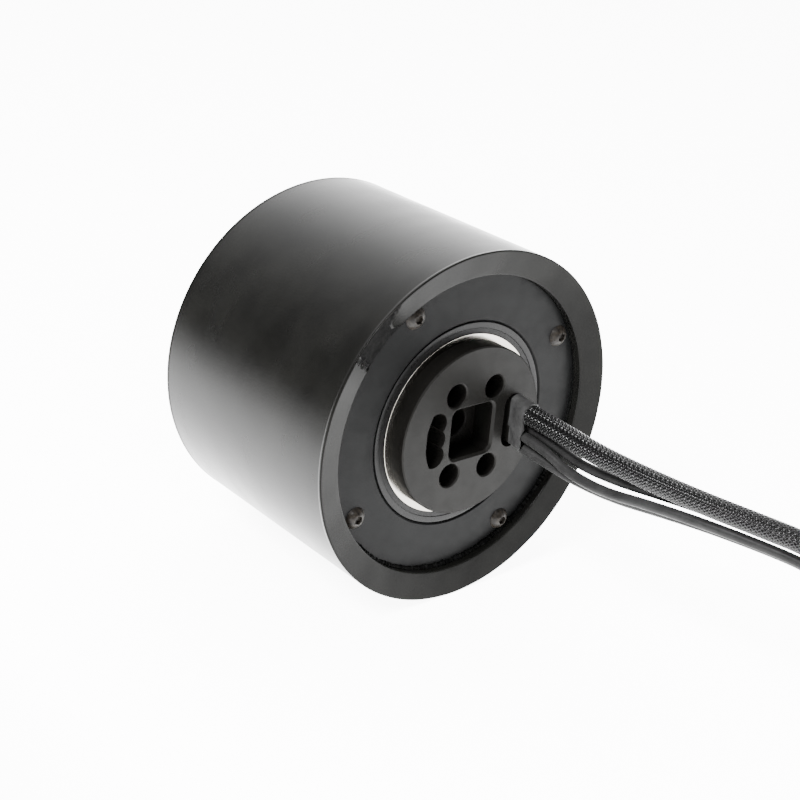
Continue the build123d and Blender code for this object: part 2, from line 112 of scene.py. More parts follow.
LEAD_B_ROUTE = [
    (12.2, BOOT_Y, -5.1), (12.9, -13, -6.0), (14.6, -22.5, -7.5), (15.5, -34, -7.0),
    (16.4, -46, -5.0), (19.0, -58, -4.1), (22.6, -70, -4.3), (26.9, -79.5, -5.7),
    (29.1, -88.0, -8.2), (29.5, -95.6, -12.5), (28.7, -102.4, -18.4), (27.5, -109.4, -25.5),
    (26.7, -117.8, -33.0), (26.5, -127.8, -38.7), (26.6, -138.2, -42.2), (26.7, -148.6, -43.5),
]
LEAD_C_ROUTE = [
    (14.3, BOOT_Y, -0.6), (14.3, -13, -1.2), (14.6, -22, -2.9), (15.3, -33, -2.5),
    (16.6, -45, -1.0), (19.3, -57, -0.4), (23.1, -70, -0.7), (27.6, -79.8, -2.2),
    (30.2, -89.0, -4.9), (31.2, -97.1, -10.0), (30.9, -104.0, -16.6), (30.1, -110.5, -24.3),
    (29.5, -118.3, -32.1), (29.3, -127.9, -38.3), (29.4, -138.1, -42.0), (29.5, -148.6, -43.5),
]
SLEEVE_TAIL = [(-19.5, -167.3, FLOOR_Z + SLEEVE_R), (-24.9, -158.9, FLOOR_Z + SLEEVE_R),
               (-31.6, -151.2, FLOOR_Z + SLEEVE_R), (-38.9, -144.4, FLOOR_Z + SLEEVE_R)]
LEAD_A_TAIL = [(-14.7, -164.5, FLOOR_Z + UPPER_LEAD_Z), (-20.0, -154.9, FLOOR_Z + 3.9),
               (-24.7, -144.9, FLOOR_Z + 5.0), (-29.4, -134.3, FLOOR_Z + 6.6)]
LEAD_B_TAIL = [(-13.4, -163.8, FLOOR_Z + LEAD_R), (-18.9, -153.7, FLOOR_Z + LEAD_R + 0.1),
               (-23.6, -143.1, FLOOR_Z + LEAD_R + 0.6), (-27.7, -132.2, FLOOR_Z + BULLET_R)]
LEAD_C_TAIL = [(-15.9, -165.2, FLOOR_Z + LEAD_R), (-21.3, -155.6, FLOOR_Z + LEAD_R + 0.1),
               (-26.1, -146.3, FLOOR_Z + LEAD_R + 0.6), (-30.8, -136.9, FLOOR_Z + BULLET_R)]


def coil_turns(offset, z):
    """Points along a cord's clockwise spiral in the coil, from where it lands to its tail."""
    points = []
    for turned in COIL_ANGLES:
        radius = COIL_R + COIL_LEAD * turned / 360 + offset
        points.append((COIL[0] + radius * math.cos(math.radians(turned)),
                       COIL[1] - radius * math.sin(math.radians(turned)), FLOOR_Z + z))
    return points


def cord_line(name, points, bevel):
    """A NURBS curve with these control points, given in millimetres."""
    curve = bpy.data.curves.new(name, "CURVE")
    curve.dimensions = "3D"
    spline = curve.splines.new("NURBS")
    spline.points.add(len(points) - 1)
    for place, point in zip(spline.points, points):
        place.co = (point[0] * MM, point[1] * MM, point[2] * MM, 1)
    spline.order_u = 3
    spline.use_endpoint_u = True
    spline.resolution_u = 16
    curve.bevel_depth = bevel * MM
    curve.bevel_resolution = 8
    curve.use_fill_caps = True
    return linked(name, curve)


def centreline(item, spacing):
    """Even steps along a cord's spline: their distances, places, and two directions across it."""
    bevel = item.data.bevel_depth
    item.data.bevel_depth = 0
    mesh = bpy.data.meshes.new_from_object(item)
    item.data.bevel_depth = bevel
    line = np.array([v.co[:] for v in mesh.vertices]) / MM
    bpy.data.meshes.remove(mesh)
    gaps = np.linalg.norm(np.diff(line, axis=0), axis=1)
    line = line[np.concatenate([[True], gaps > 1e-6])]
    reached = np.concatenate([[0], np.cumsum(np.linalg.norm(np.diff(line, axis=0), axis=1))])
    places = np.linspace(0, reached[-1], int(reached[-1] / spacing) + 1)
    points = np.stack([np.interp(places, reached, line[:, i]) for i in range(3)], axis=1)
    ahead = np.gradient(points, axis=0)
    ahead /= np.linalg.norm(ahead, axis=1)[:, None]
    side = np.cross(ahead[0], (0, 0, 1))
    sides = []
    for direction in ahead:
        side = side - direction * side.dot(direction)
        side = side / np.linalg.norm(side)
        sides.append(side)
    sides = np.array(sides)
    return places, points, sides, np.cross(ahead, sides)


# ---- meshes
def mesh_object(name, verts, faces, material, crease):
    """An object from points in millimetres, its normals outward, smooth except over creases."""
    mesh = bpy.data.meshes.new(name)
    mesh.from_pydata([(x * MM, y * MM, z * MM) for x, y, z in verts], [], faces)
    mesh.materials.append(material)
    work = bmesh.new()
    work.from_mesh(mesh)
    bmesh.ops.recalc_face_normals(work, faces=work.faces)
    work.to_mesh(mesh)
    work.free()
    mesh.shade_smooth()
    mesh.set_sharp_from_angle(angle=math.radians(crease))
    return linked(name, mesh)


def rounded(corners, steps=4):
    """A closed outline from (a, b, radius) corners, each rounded by its radius."""
    outline = []
    count = len(corners)
    for i, (a, b, radius) in enumerate(corners):
        here = Vector((a, b))
        if radius <= 0:
            outline.append((a, b))
            continue
        into = Vector(corners[i - 1][:2]) - here
        away = Vector(corners[(i + 1) % count][:2]) - here
        half = into.angle(away) / 2
        reach = min(radius / math.tan(half), 0.49 * into.length, 0.49 * away.length)
        start = here + into.normalized() * reach
        end = here + away.normalized() * reach
        for step in range(steps + 1):
            t = step / steps
            point = start * (1 - t) ** 2 + here * 2 * t * (1 - t) + end * t * t
            outline.append((point.x, point.y))
    return outline


def ring_faces(segments, count):
    """Faces of a closed ring whose vertices run round a section of count points, segment by segment."""
    faces = []
    for i in range(segments):
        near, far = i * count, (i + 1) % segments * count
        for j in range(count):
            k = (j + 1) % count
            faces.append((near + j, near + k, far + k, far + j))
    return faces


def lathe(name, corners, material, segments, wobble):
    """A ring turned about the spin axis from (radius, y, corner radius) corners."""
    outline = rounded(corners)
    verts = []
    for i in range(segments):
        angle = 2 * math.pi * i / segments
        for radius, y in outline:
            r, along = wobble(radius, y, angle)
            verts.append((r * math.cos(angle), along, r * math.sin(angle)))
    return mesh_object(name, verts, ring_faces(segments, len(outline)), material, 30)


# vertices this close in metres are joined, facets this close in degrees are merged, and edges over
# this angle in degrees are rounded
WELD = 2e-6
FLAT_ANGLE = 0.6
EDGE_ANGLE = 28.0


def softened(node, name, width, material, body):
    """A copy of a CAD node with its sharp edges broken by a small round."""
    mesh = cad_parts[node].data.copy()
    mesh.name = name
    mesh.materials.clear()
    mesh.materials.append(material)
    work = bmesh.new()
    work.from_mesh(mesh)
    bmesh.ops.remove_doubles(work, verts=work.verts, dist=WELD)
    for face in work.faces:
        face.material_index = 0
    bmesh.ops.dissolve_limit(work, angle_limit=math.radians(FLAT_ANGLE), verts=work.verts,
                             edges=work.edges, delimit={"NORMAL"})
    sharp = [e for e in work.edges
             if len(e.link_faces) == 2 and e.calc_face_angle(0) > math.radians(EDGE_ANGLE)]
    bmesh.ops.bevel(work, geom=sharp, offset=width * MM, segments=2, profile=0.5,
                    affect="EDGES", clamp_overlap=True, material=-1)
    bmesh.ops.triangulate(work, faces=[f for f in work.faces if len(f.verts) > 4])
    work.to_mesh(mesh)
    work.free()
    mesh.shade_smooth()
    mesh.set_sharp_from_angle(angle=math.radians(EDGE_ANGLE))
    item = linked(name, mesh)
    flat = item.modifiers.new("flat_faces", "WEIGHTED_NORMAL")
    flat.weight = 100
    flat.keep_sharp = True
    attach(item, body)
    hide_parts(node)
    return item


# ---- materials
NOISE_ROUGHNESS = 0.55
NOISE_LOW = 0.35
NOISE_HIGH = 0.65
# the wave texture turns through this many radians in a metre, at a scale of 1
WAVE_RATE = 20.0
GRAIN_HEIGHT = 0.006
MOULD_HEIGHT = 0.01
# turning marks change 25 times faster along the spin axis than across it
MARK_STRETCH = (1.04, 26.0, 1.04)


def look(name, color, rough, metal=0.0, specular=0.5, coat=0.0, coat_rough=0.1):
    """A principled material. The fixed values sit on the shader's own sockets."""
    material = bpy.data.materials.new(name)
    material.use_nodes = True
    shader = material.node_tree.nodes["Principled BSDF"]
    shader.inputs["Base Color"].default_value = (*color, 1)
    shader.inputs["Roughness"].default_value = rough
    shader.inputs["Metallic"].default_value = metal
    shader.inputs["Specular IOR Level"].default_value = specular
    shader.inputs["Coat Weight"].default_value = coat
    shader.inputs["Coat Roughness"].default_value = coat_rough
    return material


def noise(material, scale, detail, stretch=(1, 1, 1)):
    """A noise pattern fixed to the object, its scale in cells per metre."""
    tree = material.node_tree
    place = tree.nodes.new("ShaderNodeTexCoord")
    warp = tree.nodes.new("ShaderNodeMapping")
    warp.inputs["Scale"].default_value = stretch
    pattern = tree.nodes.new("ShaderNodeTexNoise")
    pattern.inputs["Scale"].default_value = scale
    pattern.inputs["Detail"].default_value = detail
    pattern.inputs["Roughness"].default_value = NOISE_ROUGHNESS
    tree.links.new(place.outputs["Object"], warp.inputs["Vector"])
    tree.links.new(warp.outputs["Vector"], pattern.inputs["Vector"])
    return pattern.outputs["Fac"]


def spread(material, value, low, high, from_low=NOISE_LOW, from_high=NOISE_HIGH):
    """A pattern stretched between two plain values."""
    scaled = material.node_tree.nodes.new("ShaderNodeMapRange")
    scaled.inputs["From Min"].default_value = from_low
    scaled.inputs["From Max"].default_value = from_high
    scaled.inputs["To Min"].default_value = low
    scaled.inputs["To Max"].default_value = high
    material.node_tree.links.new(value, scaled.inputs["Value"])
    return scaled.outputs["Result"]


def tint(material, value, low, high, from_low=NOISE_LOW, from_high=NOISE_HIGH):
    """The base colour runs between two colours with a pattern."""
    ramp = material.node_tree.nodes.new("ShaderNodeValToRGB")
    ramp.color_ramp.elements[0].position = from_low
    ramp.color_ramp.elements[0].color = (*low, 1)
    ramp.color_ramp.elements[1].position = from_high
    ramp.color_ramp.elements[1].color = (*high, 1)
    material.node_tree.links.new(value, ramp.inputs["Fac"])
    shader = material.node_tree.nodes["Principled BSDF"]
    material.node_tree.links.new(ramp.outputs["Color"], shader.inputs["Base Color"])


def vary_rough(material, value, low, high):
    """The roughness runs between two values with a pattern."""
    shader = material.node_tree.nodes["Principled BSDF"]
    material.node_tree.links.new(spread(material, value, low, high), shader.inputs["Roughness"])


def bump(material, value, height, strength=1.0):
    """Relief from a pattern, its height in millimetres. Calls add up."""
    tree = material.node_tree
    shader = tree.nodes["Principled BSDF"]
    relief = tree.nodes.new("ShaderNodeBump")
    relief.inputs["Distance"].default_value = height * MM
    relief.inputs["Strength"].default_value = strength
    tree.links.new(value, relief.inputs["Height"])
    if shader.inputs["Normal"].is_linked:
        before = shader.inputs["Normal"].links[0].from_socket
        tree.links.new(before, relief.inputs["Normal"])
    tree.links.new(relief.outputs["Normal"], shader.inputs["Normal"])


def bands(material, pitch, axis="Y", distortion=0.0):
    """Bands across an axis, a pitch in millimetres apart, or 1.15 times that for diagonal ones."""
    tree = material.node_tree
    place = tree.nodes.new("ShaderNodeTexCoord")
    wave = tree.nodes.new("ShaderNodeTexWave")
    wave.bands_direction = axis
    wave.inputs["Scale"].default_value = 2 * math.pi / (WAVE_RATE * pitch * MM)
    wave.inputs["Distortion"].default_value = distortion
    tree.links.new(place.outputs["Object"], wave.inputs["Vector"])
    return wave.outputs["Fac"]


def tyre_rubber(name, specular):
    """Smooth moulded rubber, faintly mottled."""
    material = look(name, (0.004, 0.004, 0.004), 0.22, specular=specular)
    tint(material, noise(material, 70, 6), (0.0022, 0.0022, 0.002), (0.0042, 0.0042, 0.0038))
    vary_rough(material, noise(material, 45, 8, (1, 2.5, 1)), 0.22, 0.28)
    bump(material, noise(material, 700, 5, (1, 1.8, 1)), 0.006, 0.35)
    return material


def scuffed_rubber():
    """The torn skin of the rubber: dull, with paler dry scratches."""
    material = look("tyre_scuff", (0.002, 0.002, 0.002), 0.6, specular=0.02)
    dark, pale = (0.0008, 0.0008, 0.0008), (0.005, 0.005, 0.0046)
    tint(material, noise(material, 900, 6), dark, pale, 0.5, 0.85)
    vary_rough(material, noise(material, 700, 5), 0.5, 0.7)
    bump(material, noise(material, 1600, 5), 0.08, 0.8)
    return material


def satin_black(name, color, rough, specular):
    """Blackened or painted metal with a fine grain."""
    material = look(name, color, rough, specular=specular)
    lighter = tuple(1.35 * c for c in color)
    tint(material, noise(material, 90, 5), color, lighter)
    vary_rough(material, noise(material, 300, 6), rough - 0.05, rough + 0.06)
    bump(material, noise(material, 3500, 3), GRAIN_HEIGHT, 0.5)
    return material


def turned_metal(name, color, rough):
    """Metal with fine marks round the spin axis."""
    material = look(name, color, rough, 1.0)
    marks = noise(material, 55, 4, MARK_STRETCH)
    tint(material, marks, tuple(0.82 * c for c in color), color)
    vary_rough(material, marks, 0.8 * rough, 1.3 * rough)
    bump(material, marks, 0.004, 0.4)
    return material


def blackened_screw():
    """Black oxide on steel, uneven from handling."""
    material = look("blackened_screw", (0.010, 0.0085, 0.007), 0.4, 0.0, 0.1)
    tint(material, noise(material, 1100, 6), (0.004, 0.0034, 0.003), (0.012, 0.010, 0.008))
    vary_rough(material, noise(material, 900, 5), 0.3, 0.5)
    bump(material, noise(material, 2500, 4), 0.01, 0.5)
    return material


def plated(name, color, rough):
    """Bright plating with small dull places."""
    material = look(name, color, rough, 1.0)
    marks = noise(material, 700, 5)
    tint(material, marks, tuple(0.8 * c for c in color), color)
    vary_rough(material, marks, 0.8 * rough, 1.4 * rough)
    return material


def moulded(name, color, rough, grain=900, specular=0.5):
    """Moulded plastic or rubber with a faint grain."""
    material = look(name, color, rough, specular=specular)
    tint(material, noise(material, grain / 4, 5), tuple(0.75 * c for c in color), color)
    vary_rough(material, noise(material, grain, 4), 0.9 * rough, 1.12 * rough)
    bump(material, noise(material, grain, 4), MOULD_HEIGHT, 0.6)
    return material


def laminated():
    """The edges of a stack of steel sheets, as bands of light and dark."""
    material = look("laminated_steel", (0.16, 0.17, 0.19), 0.42, 0.9)
    sheets = bands(material, 3.1432)
    tint(material, sheets, (0.08, 0.085, 0.1), (0.3, 0.31, 0.33), 0.1, 0.9)
    bump(material, sheets, 0.05)
    return material


def enamelled_wire():
    """Varnished copper windings."""
    material = look("enamelled_copper", (0.5, 0.16, 0.05), 0.28, 0.7, coat=0.6, coat_rough=0.15)
    turns = bands(material, 4.4903, "DIAGONAL", 1.5)
    tint(material, turns, (0.26, 0.07, 0.02), (0.62, 0.22, 0.08), 0.1, 0.9)
    bump(material, turns, 0.2)
    return material


def shrink_rubber():
    """Shrink tube, dull and finely wrinkled."""
    material = look("shrink_rubber", (0.016, 0.016, 0.016), 0.5, specular=0.15)
    tint(material, noise(material, 350, 5), (0.011, 0.011, 0.011), (0.022, 0.022, 0.022))
    vary_rough(material, noise(material, 500, 4), 0.42, 0.62)
    bump(material, noise(material, 420, 3, (1, 0.45, 1)), 0.16, 0.5)
    bump(material, noise(material, 2600, 3), 0.01, 0.5)
    return material


def braid_yarn():
    """Glossy black yarn."""
    material = look("braid_yarn", (0.003, 0.003, 0.003), 0.15, specular=0.14)
    tint(material, noise(material, 1500, 3), (0.0015, 0.0015, 0.0015), (0.004, 0.004, 0.004))
    vary_rough(material, noise(material, 2600, 3), 0.10, 0.18)
    bump(material, noise(material, 5200, 2), 0.02, 0.5)
    return material


def wire_jacket():
    """Soft black jacket of the leads."""
    material = look("wire_jacket", (0.010, 0.010, 0.010), 0.36, specular=0.06)
    tint(material, noise(material, 260, 4), (0.008, 0.008, 0.008), (0.013, 0.013, 0.013))
    vary_rough(material, noise(material, 340, 5), 0.4, 0.52)
    bump(material, noise(material, 180, 3), 0.05, 0.4)
    return material


def circuit_board():
    """Green solder mask."""
    material = look("circuit_board", (0.01, 0.10, 0.045), 0.35, coat=0.5)
    tint(material, noise(material, 1800, 2), (0.008, 0.075, 0.035), (0.02, 0.15, 0.07))
    bump(material, noise(material, 1400, 2), 0.02)
    return material


MATERIALS = {
    "tyre": tyre_rubber("tyre_tread", 0.078),
    "tyre_face": tyre_rubber("tyre_face", 0.03),
    "tyre_scuff": scuffed_rubber(),
    "can_steel": turned_metal("can_steel", (0.28, 0.28, 0.29), 0.32),
    "magnet": plated("nickel_plate", (0.62, 0.60, 0.56), 0.25),
    "cover": satin_black("satin_cover", (0.0019, 0.0020, 0.0020), 0.40, 0.035),
    "screw": blackened_screw(),
    "cap": moulded("cap_plastic", (0.006, 0.006, 0.006), 0.42, specular=0.15),
    "bearing_steel": turned_metal("ground_steel", (0.30, 0.285, 0.26), 0.2),
    # the bearing's outer ring is coloured near black and dull, not bright steel
    "dark_race": satin_black("dark_outer_race", (0.0026, 0.0026, 0.0026), 0.3, 0.08),
    "cage_plastic": moulded("cage_nylon", (0.55, 0.49, 0.36), 0.5),
    "seal": moulded("seal_rubber", (0.003, 0.003, 0.003), 0.45, specular=0.08),
    "spring_steel": turned_metal("spring_steel", (0.16, 0.16, 0.17), 0.35),
    "hub": satin_black("satin_hub", (0.0030, 0.0029, 0.0026), 0.44, 0.045),
    # painted shade: a darker, duller copy of the hub's finish, for its holes, its outer wall and the
    # inside of the boot's slot
    "hub_painted_shade": satin_black("hub_painted_shade", (0.0018, 0.0017, 0.0015), 0.5, 0.03),
    "carrier": turned_metal("carrier_aluminium", (0.62, 0.62, 0.64), 0.3),
    "stack": laminated(),
    "insulator": moulded("insulator_nylon", (0.05, 0.05, 0.052), 0.45),
    "copper": enamelled_wire(),
    "board": circuit_board(),
    "chip": moulded("chip_epoxy", (0.015, 0.015, 0.015), 0.4, 1800),
    "boot": shrink_rubber(),
    "braid": braid_yarn(),
    "wire": wire_jacket(),
    "tie": moulded("tie_nylon", (0.006, 0.006, 0.006), 0.35, specular=0.12),
    "plug": moulded("plug_nylon", (0.16, 0.155, 0.14), 0.42, specular=0.3),
    "gold": plated("gold_plate", (0.30, 0.19, 0.06), 0.2),
}


# ---- pieces that keep their CAD shape, with broken edges
# painted shade on the hub: in its holes deeper than this and inside the skin radius, and on its wall
# outside the wall radius
HUB_SHADE_Y = 0.7
HUB_SKIN_R = 19.0
HUB_WALL_R = 21.0


def paint_hub_shade(item):
    """Painted shade: the hub's holes and its outer wall take a darker, duller copy of its finish."""
    item.data.materials.append(MATERIALS["hub_painted_shade"])
    for face in item.data.polygons:
        x, y, z = face.center / MM
        radius = math.hypot(x, z)
        wall = radius > HUB_WALL_R and abs(face.normal.y) < 0.3
        if wall or y > HUB_SHADE_Y and radius < HUB_SKIN_R:
            face.material_index = 1


def cad_pieces():
    """Visible pieces with a width in millimetres for their broken edges, and a finish."""
    rotor_edges = {
        "inner_end_cover": (0.15, "cover"), "inner_cover_screws": (0.10, "screw"),
        "outer_end_cover": (0.20, "cover"), "outer_cover_screws": (0.10, "screw"),
        "dust_cap": (0.15, "cap"), "inner_bearing_outer_ring": (0.18, "dark_race"),
        "inner_bearing_seals": (0.08, "seal"), "outer_bearing_outer_ring": (0.15, "bearing_steel"),
        "rotor_can": (0.20, "can_steel"),
    }
    stator_edges = {
        "hub_axle": (0.22, "hub"), "inner_bearing_inner_ring": (0.22, "bearing_steel"),
        "outer_bearing_inner_ring": (0.15, "bearing_steel"),
        "sensor_plug": (0.20, "plug"), "sensor_plug_pins": (0.08, "gold"),
        "bullet_sleeve_a": (0.35, "wire"), "bullet_sleeve_b": (0.35, "wire"),
        "bullet_sleeve_c": (0.35, "wire"), "bullet_pin_a": (0.12, "gold"),
        "bullet_pin_b": (0.12, "gold"), "bullet_pin_c": (0.12, "gold"),
    }
    for body, table in (("rotor", rotor_edges), ("stator", stator_edges)):
        for node, (width, material) in table.items():
            item = softened(node, node + "_look", width, MATERIALS[material], body)
            if node == "hub_axle":
                paint_hub_shade(item)


def inner_pieces():
    """The parts sealed inside keep their CAD mesh and get a finish."""
    finishes = {
        "magnets": "magnet", "inner_bearing_balls": "bearing_steel",
        "inner_bearing_cage": "cage_plastic", "inner_bearing_circlip": "spring_steel",
        "outer_bearing_balls": "bearing_steel", "outer_bearing_cage": "cage_plastic",
        "outer_bearing_seals": "seal", "outer_bearing_circlip": "spring_steel",
        "outer_bearing_spacer": "carrier", "axle_key": "spring_steel",
        "stator_carrier": "carrier", "stator_core": "stack", "stator_insulators": "insulator",
        "stator_coils": "copper", "hall_board": "board", "hall_sensors": "chip",
    }
    for node, material in finishes.items():
        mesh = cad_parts[node].data
        mesh.materials.clear()
        mesh.materials.append(MATERIALS[material])


# ---- tyre
TYRE_BORE = 38.4
TYRE_Y0 = 0.35
TYRE_Y1 = 64.85
TYRE_DISH = 1.9
TYRE_LIP = 0.25
TREAD_INSET = 0.05
TYRE_SEGMENTS = 720
DISH_STEPS = 12
TREAD_STEPS = 24
# the moulding line at the edge, as (inset from the tread, distance from the face, corner radius)
MOULD_LINE = ((0.03, 0.22, 0.10), (0.01, 0.55, 0.08), (0.09, 0.95, 0.15))
# the uneven skin, as (height, waves round the wheel, twist along it)
SKIN_WAVES = ((0.03, 3, 0.09), (0.02, 7, -0.21), (0.008, 19, 0.4))
SKIN_SHARE = 0.4
SKIN_INSET = 0.024
NEAR_FACE_Y = 3.0
TORN_R = 41.4
TORN_HALF_W = 2.9
TORN_START = 131.0
TORN_END = 144.8
TORN_DEPTH = 0.12
TORN_MORE = 0.16


def scuffed(radius, angle):
    """Whether a place on the tyre's near face lies in the torn patch, by its angle in degrees."""
    across = (radius - TORN_R) / TORN_HALF_W
    start = TORN_START - 4.0 * across ** 2
    end = TORN_END + 1.1 * math.sin(4.1 * radius) + 0.7 * math.sin(9.7 * radius + 1)
    return TYRE_BORE < radius < TYRE_R - TYRE_LIP and start < angle < end


def tyre_corners():
    """The tyre's section: two dished faces, a moulding line at each edge, and the tread."""
    rise = TYRE_R - TYRE_LIP - TYRE_BORE
    dish = [(TYRE_BORE + rise * i / DISH_STEPS, TYRE_Y0 + TYRE_DISH * (1 - i / DISH_STEPS), 0)
            for i in range(1, DISH_STEPS)]
    near = [(TYRE_BORE, TYRE_Y0 + TYRE_DISH, 0.35), *dish, (TYRE_R - TYRE_LIP, TYRE_Y0, 0.18)]
    near += [(TYRE_R - inset, TYRE_Y0 + y, rounding) for inset, y, rounding in MOULD_LINE]
    far = [(r, TYRE_Y0 + TYRE_Y1 - y, rounding) for r, y, rounding in reversed(near)]
    edge = MOULD_LINE[-1][1]
    span = TYRE_Y1 - TYRE_Y0 - 2 * edge
    tread = [(TYRE_R - TREAD_INSET, TYRE_Y0 + edge + span * i / TREAD_STEPS, 0)
             for i in range(1, TREAD_STEPS)]
    return near + tread + far


def tyre():
    """The tyre, with a faintly uneven skin and a torn patch on its near face."""
    chance = random.Random(11)

    def wobble(radius, y, angle):
        outer = radius > TYRE_BORE + 1
        skin = sum(height * math.sin(count * angle + twist * y) for height, count, twist in SKIN_WAVES)
        lip = 0.03 * math.sin(23 * angle) * math.sin(5 * angle) if outer and y < 2 else 0
        if y < NEAR_FACE_Y and scuffed(radius, math.degrees(angle)):
            lip += TORN_DEPTH + TORN_MORE * chance.random()
        return radius + (SKIN_SHARE * skin - SKIN_INSET if outer else 0), y + lip

    item = lathe("tyre_look", tyre_corners(), MATERIALS["tyre"], TYRE_SEGMENTS, wobble)
    item.data.materials.append(MATERIALS["tyre_face"])
    item.data.materials.append(MATERIALS["tyre_scuff"])
    for face in item.data.polygons:
        x, y, z = face.center / MM
        if abs(face.normal.y) > 0.6:
            face.material_index = 1
        if y < NEAR_FACE_Y and scuffed(math.hypot(x, z), math.degrees(math.atan2(z, x))):
            face.material_index = 2
    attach(item, "rotor")
    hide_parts("tyre")


RESIDUE_SIDES = 8
RESIDUE_Y = 4.6
RESIDUE_INSET = 0.12
RESIDUE_LEAST = 0.10
RESIDUE_GROWTH = 0.55
RESIDUE_TURN = 75.0


def tyre_residue():
    """Cured rubber squeezed out in the corner between the tyre and the cover, rough and uneven."""
    chance = random.Random(7)
    swell = [chance.random() for _ in range(TYRE_SEGMENTS)]
    verts = []
    for i in range(TYRE_SEGMENTS):
        angle = 2 * math.pi * i / TYRE_SEGMENTS
        low = max(0.0, math.cos(angle + math.radians(RESIDUE_TURN)))
        size = RESIDUE_LEAST + RESIDUE_GROWTH * (1 + swell[i] * swell[i - 3]) * low ** 0.7
        size *= 0.8 + 0.4 * swell[(i * 7) % TYRE_SEGMENTS]
        for j in range(RESIDUE_SIDES):
            turn = 2 * math.pi * j / RESIDUE_SIDES
            r = min(TYRE_BORE - RESIDUE_INSET + size * math.cos(turn), TYRE_BORE + 0.05)
            y = RESIDUE_Y + size * math.sin(turn)
            verts.append((r * math.cos(angle), y, r * math.sin(angle)))
    faces = ring_faces(TYRE_SEGMENTS, RESIDUE_SIDES)
    item = mesh_object("tyre_residue", verts, faces, MATERIALS["tyre_scuff"], 60)
    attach(item, "rotor")


# ---- the boot
BOOT_X = 13.95
BOOT_Z = 0.15
BOOT_HALF_W = 1.8
BOOT_HALF_H = 6.6
BOOT_WIDENS = 0.85
BOOT_TAPER = (-0.3, -5.0)
BOOT_WALL = 0.42
BOOT_WAIST = 0.55
BOOT_SHELL_Y = 9.5
BOOT_LINING_Y = 2.0
BOOT_RINGS = 22
BOOT_COUNT = 72


def clamped(value):
    """The value, kept between 0 and 1."""
    return max(0.0, min(1.0, value))


def boot_section(angle, y, inset, phases):
    """A place on the boot's wall: an oval that widens to the mouth, pinched and wrinkled there."""
    opening = clamped((BOOT_TAPER[0] - y) / (BOOT_TAPER[0] - BOOT_TAPER[1]))
    half_w = BOOT_HALF_W + BOOT_WIDENS * opening
    corner = half_w - 0.15
    x = corner * math.cos(angle)
    x += math.copysign(half_w - corner, x) * min(1, abs(math.cos(angle)) * 3)
    z = corner * math.sin(angle)
    z += math.copysign(BOOT_HALF_H - corner, math.sin(angle)) * min(1, abs(math.sin(angle)) * 3)
    near_mouth = clamped((-y - 1) / 5)
    waist = BOOT_WAIST * math.exp(-((z + 0.1 - BOOT_Z) / 1.2) ** 2) * near_mouth
    ripple = 0.10 * math.sin(1.7 * y + 2.2 * z + phases[0]) * math.sin(0.9 * z + phases[1])
    ripple += 0.06 * math.sin(3.1 * y - 1.3 * z + phases[2])
    x = x * (1 - inset / half_w) - math.copysign(waist, x) + math.copysign(ripple * near_mouth, x)
    z = z - math.copysign(min(abs(z), inset), z)
    return BOOT_X - BOOT_WIDENS * opening + x, y, BOOT_Z + z


def boot():
    """Flat shrink tube: a thin open wall round the cords, drawn in between them and wrinkled."""
    chance = random.Random(3)
    phases = [chance.uniform(0, 6.28) for _ in range(6)]
    verts, faces = [], []
    for inset, start in ((0, BOOT_SHELL_Y), (BOOT_WALL, BOOT_LINING_Y)):
        for i in range(BOOT_RINGS + 1):
            for j in range(BOOT_COUNT):
                angle = 2 * math.pi * j / BOOT_COUNT
                height = BOOT_HALF_H * math.sin(angle)
                mouth = BOOT_Y - 0.07 * height + 0.12 * math.sin(2.3 * height + phases[4])
                y = start + (mouth - start) * i / BOOT_RINGS
                verts.append(boot_section(angle, y, inset, phases))
    shell = (BOOT_RINGS + 1) * BOOT_COUNT
    last = BOOT_RINGS * BOOT_COUNT
    for base in (0, shell):
        for i in range(BOOT_RINGS):
            for j in range(BOOT_COUNT):
                k = (j + 1) % BOOT_COUNT
                a, b = base + i * BOOT_COUNT + j, base + i * BOOT_COUNT + k
                faces.append((a, b, b + BOOT_COUNT, a + BOOT_COUNT))
    for j in range(BOOT_COUNT):
        k = (j + 1) % BOOT_COUNT
        faces.append((last + j, last + k, shell + last + k, shell + last + j))
    faces.append(tuple(range(BOOT_COUNT)))
    faces.append(tuple(range(shell, shell + BOOT_COUNT)))
    item = mesh_object("boot_look", verts, faces, MATERIALS["boot"], 50)
    # painted shade: the boot's faces inside the slot, past the mounting face, take the hub's darker
    # painted-shade material
    item.data.materials.append(MATERIALS["hub_painted_shade"])
    for face in item.data.polygons:
        if face.center.y > 0:
            face.material_index = 1
    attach(item, "stator")
    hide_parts("cable_boot")


# ---- the tie, measured outwards from the coil's centre and up from the floor
TIE_ANGLE = -60.0
TIE_IN = 14.2
TIE_OUT = 37.3
TIE_TOP = 5.6
TIE_T = 0.8
TIE_HALF_W = 2.0
HEAD_START = TIE_IN + 5
HEAD_END = HEAD_START + 6.2
HEAD_Z = (TIE_TOP + 0.1, TIE_TOP + 3.2)
HEAD_HALF_W = 2.7


def extruded(outline, half_width):
    """Vertices and faces of an (a, b) outline, pushed out both ways along a third axis."""
    verts = [(a, side * half_width, b) for side in (-1, 1) for a, b in outline]
    count = len(outline)
    faces = [tuple(range(count)), tuple(range(2 * count - 1, count - 1, -1))]
    faces += [(j, (j + 1) % count, (j + 1) % count + count, j + count) for j in range(count)]
    return verts, faces


